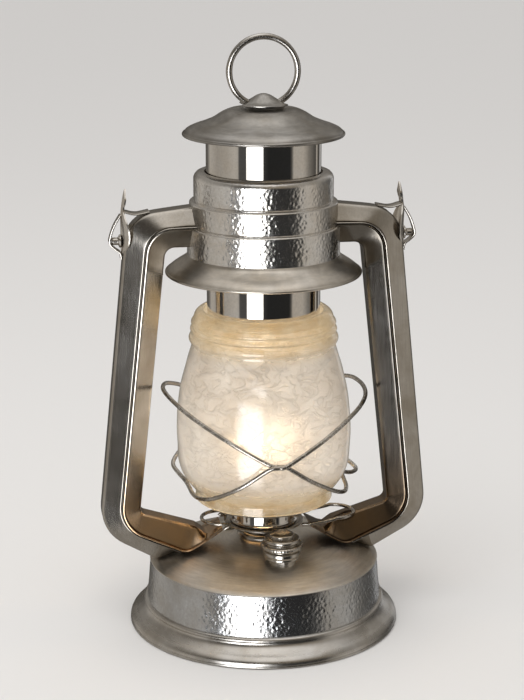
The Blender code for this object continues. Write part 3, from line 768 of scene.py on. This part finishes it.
def route(corners, runs):
    """Points along straight runs with rounded corners (x, z, radius). runs gives the steps of each run."""
    stops = []
    for i, corner in enumerate(corners):
        here = Vector(corner[:2])
        if i in (0, len(corners) - 1):
            stops.append([here])
            continue
        before = (Vector(corners[i - 1][:2]) - here).normalized()
        after = (Vector(corners[i + 1][:2]) - here).normalized()
        half = before.angle(after) / 2
        if corner[2] == 0 or half > math.radians(89):
            stops.append([here] * (BEND_STEPS + 1))
            continue
        reach = corner[2] / math.tan(half)
        centre = here + (before + after).normalized() * (corner[2] / math.sin(half))
        start, end = here + before * reach - centre, here + after * reach - centre
        full = start.angle(end)
        bend = []
        for k in range(BEND_STEPS + 1):
            share = k / BEND_STEPS
            turned = math.sin((1 - share) * full) * start + math.sin(share * full) * end
            bend.append(centre + turned / math.sin(full))
        stops.append(bend)
    line = []
    for first, second, steps in zip(stops, stops[1:], runs):
        line += first[1:] if line else first
        line += [first[-1].lerp(second[0], k / steps) for k in range(1, steps + 1)]
    return line + stops[-1][1:]


# The right-hand side tube in the XZ plane: its seam and the crowns of its inner and outer halves. Matching
# corners lie on the same cross-section. Each is x, z and the radius of its bend.
TUBE_END = 44.2
SEAM = [
    (TUBE_END, 252, 0), (69.9, 252, 16), (89.9, 67.2, 20), (64, 55.6, 0), (50, 49.2, 8), (38, 55.6, 0),
    (26.9, 61.6, 0),
]
INNER_CROWN = [
    (TUBE_END, 239, 0), (59.4, 239, 6), (77.2, 74, 4), (60, 68.6, 0), (43, 63.2, 3), (36.6, 58.2, 2),
    (27.2, 63.2, 0),
]
OUTER_CROWN = [(TUBE_END, 263.1, 0), (82.1, 258.4, 20.5), (102.2, 62.8, 25), (67.6, 43.4, 2), (53, 48.4, 0)]
RUNS = [4, 24, 5, 3, 3, 3]
FULL_WIDTH = 12.6
SEAM_FLANGE = 2.2
TUBE_SHEET = 0.8
CORNER_STEPS = 6
FLANK_STEPS = 8
HOOD_TIERS = [(41.7, 266.3, 278.6), (44.3, 252, 264.4), (45.8, 233.4, 250.2)]


def half_section(depth, half_width, crown_share):
    """A pressed half of a side tube, as (across, outward) points: flanks, a crown and two flanges."""
    gap = 0.15
    lift = gap + TUBE_SHEET
    crown = half_width * crown_share
    depth = max(depth, lift + 0.5)
    bend = min(2.6, 0.35 * depth)
    bends = [(half_width, lift, 0.5), (crown, depth, bend), (-crown, depth, bend), (-half_width, lift, 0.5)]
    bends = rounded(bends, steps=CORNER_STEPS)
    outside = bends[:1]
    for i, (a, b) in enumerate(zip(bends, bends[1:])):
        flat = i % (CORNER_STEPS + 1) == CORNER_STEPS
        outside += divided(a, b, FLANK_STEPS if flat else 1)
    inner_width = half_width - TUBE_SHEET
    inside = [
        (-inner_width, gap, 0), (-crown + 0.4, depth - TUBE_SHEET, bend * 0.8),
        (crown - 0.4, depth - TUBE_SHEET, bend * 0.8), (inner_width, gap, 0),
    ]
    inside = rounded(inside, steps=CORNER_STEPS)
    edge = half_width + SEAM_FLANGE
    near = [(-edge + 0.25, lift), (-edge, gap + TUBE_SHEET * 0.6), (-edge + 0.1, gap)]
    far = [(edge - 0.1, gap), (edge, gap + TUBE_SHEET * 0.6), (edge - 0.25, lift)]
    return outside + near + inside + far


def make_half_tube(node, side, crown_corners, crown_share, look):
    """Sweeps a half section between the seam and a crown. Its upper end is cut to the hood's round wall."""
    seam = route(SEAM, RUNS)
    rings = []
    for i, (foot, top) in enumerate(zip(seam, route(crown_corners, RUNS))):
        out = top - foot
        depth = out.length
        out.normalize()
        # Under the globe, the tube grows narrower towards the burner.
        taper = min(1, max(0, (foot.x - 26) / 16)) if foot.y < 70 else 1
        ring = []
        for across, rise in half_section(depth, FULL_WIDTH * (0.66 + 0.34 * taper**0.7), crown_share):
            x, z = foot.x + out.x * rise, foot.y + out.y * rise
            if i < RUNS[0]:
                wall = next((r for r, low, high in HOOD_TIERS if z >= low - 1.6), HOOD_TIERS[-1][0])
                reach = math.sqrt((wall - 0.5) ** 2 - across**2)
                x = reach + (x - TUBE_END) * (seam[RUNS[0]].x - reach) / (seam[RUNS[0]].x - TUBE_END)
            ring.append(Vector((side * x, across, z)) * MM)
        rings.append(ring)
    name = node + "_pressed"
    show(name, swept_mesh(name, rings), look, node, sharp=32)


def make_side_tubes():
    """Both side tubes. The inner half on the right faces the strip light and has its own darker look, which is
    painted shade.
    """
    for side, word in ((1, "right"), (-1, "left")):
        for half, crown, crown_share in (("outer", OUTER_CROWN, 0.5), ("inner", INNER_CROWN, 0.49)):
            node = f"tube_{half}_{word}"
            # The right inner half takes the darker look with the painted shade.
            look = "tube_painted_shade" if node == "tube_inner_right" else "tube_" + half
            make_half_tube(node, side, crown, crown_share, look)


# ---- the bail ears


# The leaf of an ear: height and half width, from its tip down.
LEAF = [
    (274, 0.3), (272.6, 1.5), (270.4, 3), (268, 4.4), (265.6, 4.3), (263.4, 3.5), (261.4, 3.7),
    (258.6, 5.6), (255, 8.2), (251, 9.9), (247, 10.4), (243, 9.8), (239.4, 7.6), (236.6, 4.6),
    (234.6, 1.8), (233.9, 0.3),
]
LEAF_X = 85.2
LEAF_SHEET = 0.9
LEAF_BEND = 3.2
LEAF_COLUMNS = 28


def make_leaf(side, word):
    """A leaf bent round the tube's shoulder, with fine ribs along it."""
    rings = []
    for z, half_width in spline(LEAF, 4):
        front = []
        lean = 2.4 * max(0, (z - 257) / 17) ** 1.4
        for k in range(LEAF_COLUMNS + 1):
            share = 2 * k / LEAF_COLUMNS - 1
            y = share * half_width
            rib = 0.32 * math.cos(share * 3 * math.pi) * min(1, half_width / 5)
            front.append((LEAF_X - lean - LEAF_BEND * (y / 10) ** 2 + rib, y))
        back = [(x - LEAF_SHEET, y) for x, y in front[::-1]]
        rings.append([Vector((side * x, y, z)) * MM for x, y in front + back])
    show("ear_leaf_" + word, swept_mesh("leaf", rings), "seam", "ear_plate_" + word, sharp=60)


def band_mesh(name, line, half_width, thickness, side):
    """A flat band of rounded edges along a line in the XZ plane."""
    pts = [Vector(p) for p in line]
    w, t = half_width, thickness / 2
    section = rounded([(-w, -t), (w, -t), (w, t), (-w, t)], thickness * 0.45, 3)
    rings = []
    for i, p in enumerate(pts):
        way = (pts[min(i + 1, len(pts) - 1)] - pts[max(i - 1, 0)]).normalized()
        out = Vector((-way.y, way.x))
        places = [(side * (p.x + out.x * rise), across, p.y + out.y * rise) for across, rise in section]
        rings.append([Vector(place) * MM for place in places])
    return swept_mesh(name, rings)


def make_ears():
    """On each side tube a leaf, a strap over it, a pin between them and a tab along the top of the tube."""
    strap = [
        (85.4, 258.8), (87.4, 255.6), (89.4, 252), (91, 247.8), (91.9, 244.6), (92.1, 242.6),
        (91, 240.4), (88.6, 238.2), (86.4, 236.6), (85.6, 234.8), (85.4, 232.6),
    ]
    strap = spline(strap, 6)
    tab = [(83.4, 260.8), (81.2, 260.2), (78.6, 259.5), (75.4, 259.3), (72, 259.9), (68.6, 260.6)]
    pin = [(0, 85.4, 0), (3.9, 85.4), (3.9, 86.3), (2.6, 86.9), (2.3, 87.4), (2.3, 90.2)]
    pin = rounded(pin + [(1.7, 91), (0, 91.1, 0)], 0.3)
    for side, word in ((1, "right"), (-1, "left")):
        make_leaf(side, word)
        mesh = band_mesh("strap", strap, 3, 1.2, side)
        show("ear_strap_bent_" + word, mesh, "seam", "ear_strap_" + word)
        mesh = band_mesh("tab", spline(tab, 5), 5, 0.9, side)
        show("ear_tab_bent_" + word, mesh, "seam", "ear_tab_" + word)
        mesh = lathe_mesh("pin", pin, 48)
        turn = Matrix.Rotation(side * math.pi / 2, 4, "Y")
        height = centre_of("ear_pin_" + word)[2] * MM
        mesh.transform(Matrix.Translation((0, 0, height)) @ turn)
        show("ear_pin_turned_" + word, mesh, "seam", "ear_pin_" + word)


# ---- the hood, the chimney and the ring


def make_hood():
    """The hood's three hammered tiers and the spun brim under them."""
    tiers = HOOD_TIERS
    outer = [(35.2, 282.7), (38.4, 282.6), (39.9, 282), (41, 280.8), (41.6, 279.4)]
    for i, (radius, low, high) in enumerate(tiers):
        if i:
            above, edge, _ = tiers[i - 1]
            outer += [(above - 0.5, edge - 0.5), (above - 0.4, edge - 1), (above + 0.3, high + 0.9)]
            outer += [(radius - 0.5, high + 0.7), (radius - 0.1, high + 0.35)]
        outer += resampled([(radius, high), (radius, low)], DENT_GRID)
    inner = [(44.7, 233.4), (44.6, 249.4), (43.3, 250.6), (43.2, 263.6), (40.6, 265), (40.6, 277.9)]
    inner += [(39.6, 280.4), (38.2, 281.4), (35.2, 281.6)]
    fields = [dimples(11 + i, *tier, 2.3, 0.25, 0.35) for i, tier in enumerate(tiers)]

    def shift(points):
        """The dents of all tiers."""
        return sum(field(points) for field in fields)

    lathe("hood_hammered", outer + inner, "hood", "hood", 640, shift, 60)
    brim = [(45.3, 233.2), (46.7, 231.2), (49.6, 229), (53.4, 226.6), (56.6, 224.2), (58.2, 222.3)]
    lathe("hood_brim_spun", sheet(spline(brim, 6), 0.9, 0.95), "brim", "hood_brim")


SEAM_TURN = -29


def make_chimney():
    """The polished tube with its spring flange and lapped seam, and the canopy on it."""
    outline = [
        (34.2, 303), (34.2, 237.3, 0), (39.4, 237.3), (39.4, 236.5), (34.2, 236.5, 0), (34.2, 190.4),
        (33.8, 190), (33.4, 190.2), (33.4, 303),
    ]
    outline = rounded(outline, 0.2)

    def lap(points):
        """The tube's lapped seam: one edge of the sheet over the other, with a fine groove beside it."""
        turn = np.degrees(np.arctan2(points[:, 1], points[:, 0]))
        away = (turn - SEAM_TURN + 180) % 360 - 180
        radius = np.hypot(points[:, 0], points[:, 1])
        skin = (radius > 34) & (radius < 36)
        raised = np.clip((4.5 - np.abs(away)) / 1.2, 0, 1) * 0.16
        groove = -0.35 * np.exp(-(((away + 5) / 0.7) ** 2))
        return np.where(skin, raised + groove, 0)

    lathe("chimney_tube_rolled", outline, "chrome", "chimney_tube", 512, lap)
    crown = [
        (13.6, 318.9), (16.5, 319.15), (20.2, 318.9), (24.9, 316.9), (30.3, 313.5), (36.3, 310.9),
        (42.2, 308.8), (45.6, 307.1), (47.1, 305),
    ]
    crown = spline(crown, 6)
    lathe("canopy_spun", sheet([(6.9, 318.1), (12.4, 318.1)] + crown, 1, 1.1), "canopy", "canopy")


SPRING_WIRE = 0.7
SPRING_COILS = 5
SPRING_FLAT_TURNS = 0.8
SPRING_FLAT_RISE = 0.04


def make_spring():
    """The wound spring between the chimney's flange and the hood."""
    (_, _, low), (reach, _, high) = (tuple(corner / MM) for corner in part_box("chimney_spring"))
    per_coil = 48
    radius, rise = reach - SPRING_WIRE, high - low - 2 * SPRING_WIRE
    points = []
    for i in range(SPRING_COILS * per_coil + 1):
        turn = i / per_coil
        share = (turn - SPRING_FLAT_TURNS) / (SPRING_COILS - 2 * SPRING_FLAT_TURNS)
        share = (1 - SPRING_FLAT_RISE) * min(1, max(0, share)) + SPRING_FLAT_RISE * turn / SPRING_COILS
        angle = 2 * math.pi * turn
        points.append((radius * math.cos(angle), radius * math.sin(angle), low + SPRING_WIRE + rise * share))
    mesh = tube_mesh("chimney_spring", points, SPRING_WIRE, False, 10)
    spring = show("chimney_spring_wound", mesh, "steel", "chimney_spring")
    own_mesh(spring)


RING_RADIUS = 20.3
RING_WIRE = 1.86


def ring_room(x):
    """How far the CAD ring's lower arc is from its hinge, at a distance from the middle, plus some room."""
    (_, wire, _), (reach, _, _) = (-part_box("hanging_ring")[0] / MM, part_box("hanging_ring")[1] / MM)
    radius = reach - wire
    return radius - math.sqrt((radius - wire) ** 2 - x**2) + 0.45


def make_finial_and_ring():
    """The bell-shaped finial, with room for the ring to swing, and the ring of slightly uneven wire."""
    bell = [(0, 328.55), (2, 328.3), (4.6, 327.3), (7.2, 325.7), (9.8, 324.2), (12.4, 323.3), (15, 322.9)]
    outline = spline(bell, 5) + [(15.4, 322.6), (15.4, 322.1), (14.9, 321.8), (13.4, 321.3), (12.8, 320.3)]
    outline += [(12.4, 319), (6.6, 318.95), (6.6, 313), (0, 313)]
    finial = show("finial_spun", lathe_mesh("finial", outline, 96), "canopy", "finial")
    half_width, steps = 16.5, 24
    places = [half_width * (2 * i / steps - 1) for i in range(steps + 1)]
    room = [(0, places[0])] + [(ring_room(x), x) for x in places] + [(0, places[-1])]
    room = lathe_mesh("ring_room", room, 48)
    hinge = JOINTS["ring_swing"]["pos_m"]
    room.transform(Matrix.Translation(hinge) @ Matrix.Rotation(math.pi / 2, 4, "Y"))
    cut_room(finial, room, "chimney")
    count = 160
    dice = random.Random(5)
    bends = [(dice.randint(3, 12), dice.uniform(0, 6.28), dice.uniform(0.01, 0.035)) for _ in range(6)]
    points, radii = [], []
    for i in range(count):
        turn = 2 * math.pi * i / count
        wander = sum(size * math.sin(n * turn + start) for n, start, size in bends)
        x, z = RING_RADIUS * math.sin(turn), hinge[2] / MM + RING_RADIUS * (1 - math.cos(turn))
        points.append((x, 0, z))
        radii.append(RING_WIRE + 0.8 * wander)
    mesh = tube_mesh("hanging_ring", points, radii, True, 20)
    show("hanging_ring_bent", mesh, "ring", "hanging_ring")


# ---- CAD nodes that stay


KEPT = {
    "fount_floor": "steel", "filler_neck": "plate", "filler_seal": "rubber", "burner_tube": "brass",
    "burner_cone": "brass", "wick_tube": "brass", "wick": "cotton", "wick_spindle": "brass",
    "globe_gallery": "brass", "finial_nut": "steel",
    "canopy_leg_1": "steel", "canopy_leg_2": "steel", "canopy_leg_3": "steel",
}


def dress_kept_nodes():
    """Gives each CAD node that stays its look, and soft edges where they can be seen."""
    for name, look in KEPT.items():
        node = NODES[name]
        node.data.materials.clear()
        node.data.materials.append(LOOKS[look])
        if name.startswith(("finial_nut", "canopy_leg")):
            edge = node.modifiers.new("soft edges", "BEVEL")
            edge.width = 0.25 * MM
            edge.segments = 3
            edge.limit_method = "ANGLE"
            edge.angle_limit = math.radians(30)


# ---- floor, light and camera


PAPER = (0.8, 0.79, 0.78, 1)


def make_floor():
    """A plain pale floor."""
    mesh = mesh_from("floor", [(-9, -9, 0), (9, -9, 0), (9, 9, 0), (-9, 9, 0)], [(0, 1, 2, 3)])
    floor = placed("floor", mesh)
    look = Look("floor_paper")
    look.set(Base_Color=PAPER, Roughness=0.9, Specular_IOR_Level=0.1)
    mesh.materials.append(look.material)
    floor.visible_glossy = False


# Brightness and warmth of the studio, by degrees to the right of the camera: low down, where the upright
# walls mirror it, and higher up, where the domed tops do.
LOW_STUDIO = [
    (-180, 0.07, 0.7), (-146, 0.12, 0.7), (-132, 0.42, 0.7), (-116, 0.38, 0.7), (-104, 0.33, 0.7),
    (-78, 0.38, 0.7), (-58, 0.46, 0.6), (-52, 0.42, 0.5), (-49, 0.08, 0.1), (-32, 0.07, 0), (-3, 0.08, 0),
    (0, 0.04, 0), (10, 0.02, 0), (54, 0.022, 0), (58, 0.1, 0.5), (62, 0.42, 0.7), (86, 0.42, 0.7),
    (102, 0.2, 0.6), (120, 0.09, 0.6), (144, 0.07, 0.5), (149, 0.55, 0.1), (155, 0.55, 0.1),
    (160, 0.09, 0.6), (180, 0.08, 0.7),
]
HIGH_STUDIO = [
    (-180, 0.3, 0.7), (-130, 0.24, 0.7), (-90, 0.22, 0.8), (-60, 0.16, 0.8), (-40, 0.07, 0.8),
    (-18, 0.07, 0.8),
    (0, 0.18, 1.5), (30, 0.22, 1.6), (50, 0.22, 1.3), (70, 0.28, 0.7), (110, 0.24, 0.7), (180, 0.3, 0.7),
]
STRIP_LIGHT = [(-34, 0, 0), (-31, 1, 0), (-2, 1, 0), (-1, 0, 0)]
STRIP_LEVEL = 5
CAMERA_TURN = 9


def make_world():
    """A soft tent with a white strip light and a dark stretch beside it, as the metal mirrors them."""
    world = bpy.data.worlds.new("studio")
    bpy.context.scene.world = world
    world.use_nodes = True
    sky = Nodes(world.node_tree)
    sky.tree.nodes.clear()

    def smooth(value, low, high):
        return sky.remap(value, low, high, kind="SMOOTHSTEP")

    def ramp_of(place, stops):
        made = sky.node("ShaderNodeValToRGB")
        sky.put(made.inputs[0], place)
        elements = made.color_ramp.elements
        while len(elements) < len(stops):
            elements.new(0.5)
        for element, (degrees, _, _) in zip(elements, stops):
            element.position = (degrees + 180) / 360
        for element, (_, level, warmth) in zip(elements, stops):
            element.color = grey(level, warmth)
        return made.outputs[0]

    turned = sky.node("ShaderNodeVectorRotate", rotation_type="Z_AXIS")
    sky.put(turned.inputs["Angle"], math.radians(CAMERA_TURN))
    sky.put(turned.inputs["Vector"], sky.node("ShaderNodeTexCoord").outputs["Generated"])
    x, y, z = sky.parts(turned.outputs[0])
    angle = sky.math("ARCTAN2", x, sky.math("MULTIPLY", y, -1))
    place = sky.remap(angle, -math.pi, math.pi)
    side_share = smooth(sky.math("ABSOLUTE", x), 0.05, 0.75)
    overhead = sky.mix(side_share, grey(1.05, 0.3), grey(0.3, 0.7))
    studio = sky.mix(smooth(z, 0, 0.55), ramp_of(place, LOW_STUDIO), ramp_of(place, HIGH_STUDIO))
    studio = sky.mix(smooth(z, 0.62, 0.92), studio, overhead)
    path = sky.node("ShaderNodeLightPath").outputs
    strip = sky.math("MULTIPLY", ramp_of(place, STRIP_LIGHT), smooth(z, 0.22, 0.06))
    strip = sky.math("MULTIPLY", strip, sky.math("LESS_THAN", path["Ray Depth"], 2.5))
    studio = sky.mix(strip, studio, grey(STRIP_LEVEL))
    studio = sky.mix(smooth(z, -0.55, -0.85), studio, grey(0.34, 0.6))
    seen = sky.mix(path["Is Camera Ray"], studio, PAPER)
    background = sky.node("ShaderNodeBackground")
    sky.put(background.inputs["Color"], sky.mix(path["Is Diffuse Ray"], seen, (0.78, 0.77, 0.76, 1)))
    output = sky.node("ShaderNodeOutputWorld")
    sky.put(output.inputs[0], background.outputs[0])


def lamp(name, kind, energy, colour, at, towards=None, size=0.1):
    """A lamp that the camera doesn't see. size is its width, or its radius if it is a point."""
    data = bpy.data.lights.new(name, kind)
    data.energy = energy
    data.color = colour
    if kind == "AREA":
        data.size = size
    else:
        data.shadow_soft_size = size
    made = placed(name, data)
    made.location = at
    if towards is not None:
        made.rotation_mode = "QUATERNION"
        made.rotation_quaternion = (Vector(towards) - Vector(at)).to_track_quat("-Z", "Y")
    made.visible_camera = False
    return made


def make_lights():
    """A soft box above, the flame's light and its amber glow on the burner."""
    above = lamp("softbox_above", "AREA", 10, (1, 0.985, 0.96), (-0.5, -0.6, 1.6), (0, 0, 0.1), 1.2)
    above.visible_glossy = False
    flame = lamp("flame_light", "POINT", 0.18, (1, 0.8, 0.56), (0, 0, 0.116), size=0.007)
    flame.visible_transmission = False
    under = lamp("glow_under_globe", "AREA", 0.09, (1, 0.68, 0.36), (0, 0, 0.0785), (0, 0, 0), 0.076)
    under.data.shape = "DISK"


def make_camera():
    """The camera, a little to the left of the lantern's front and above it."""
    data = bpy.data.cameras.new("camera")
    data.lens = 96.5
    data.sensor_width = 36
    data.shift_x = -0.0024
    camera = placed("camera", data)
    camera.location = (-0.172, -1.0865, 0.4715)
    turn, dip = math.radians(CAMERA_TURN), math.radians(15.2)
    ahead = Vector((math.sin(turn) * math.cos(dip), math.cos(turn) * math.cos(dip), -math.sin(dip)))
    camera.rotation_mode = "QUATERNION"
    camera.rotation_quaternion = ahead.to_track_quat("-Z", "Y")
    bpy.context.scene.camera = camera
    bpy.context.scene.view_settings.view_transform = "Standard"


make_fount()
make_filler()
make_burner()
make_globe()
make_wires()
make_flame()
make_side_tubes()
make_ears()
make_hood()
make_chimney()
make_spring()
make_finial_and_ring()
dress_kept_nodes()
make_floor()
make_world()
make_lights()
make_camera()
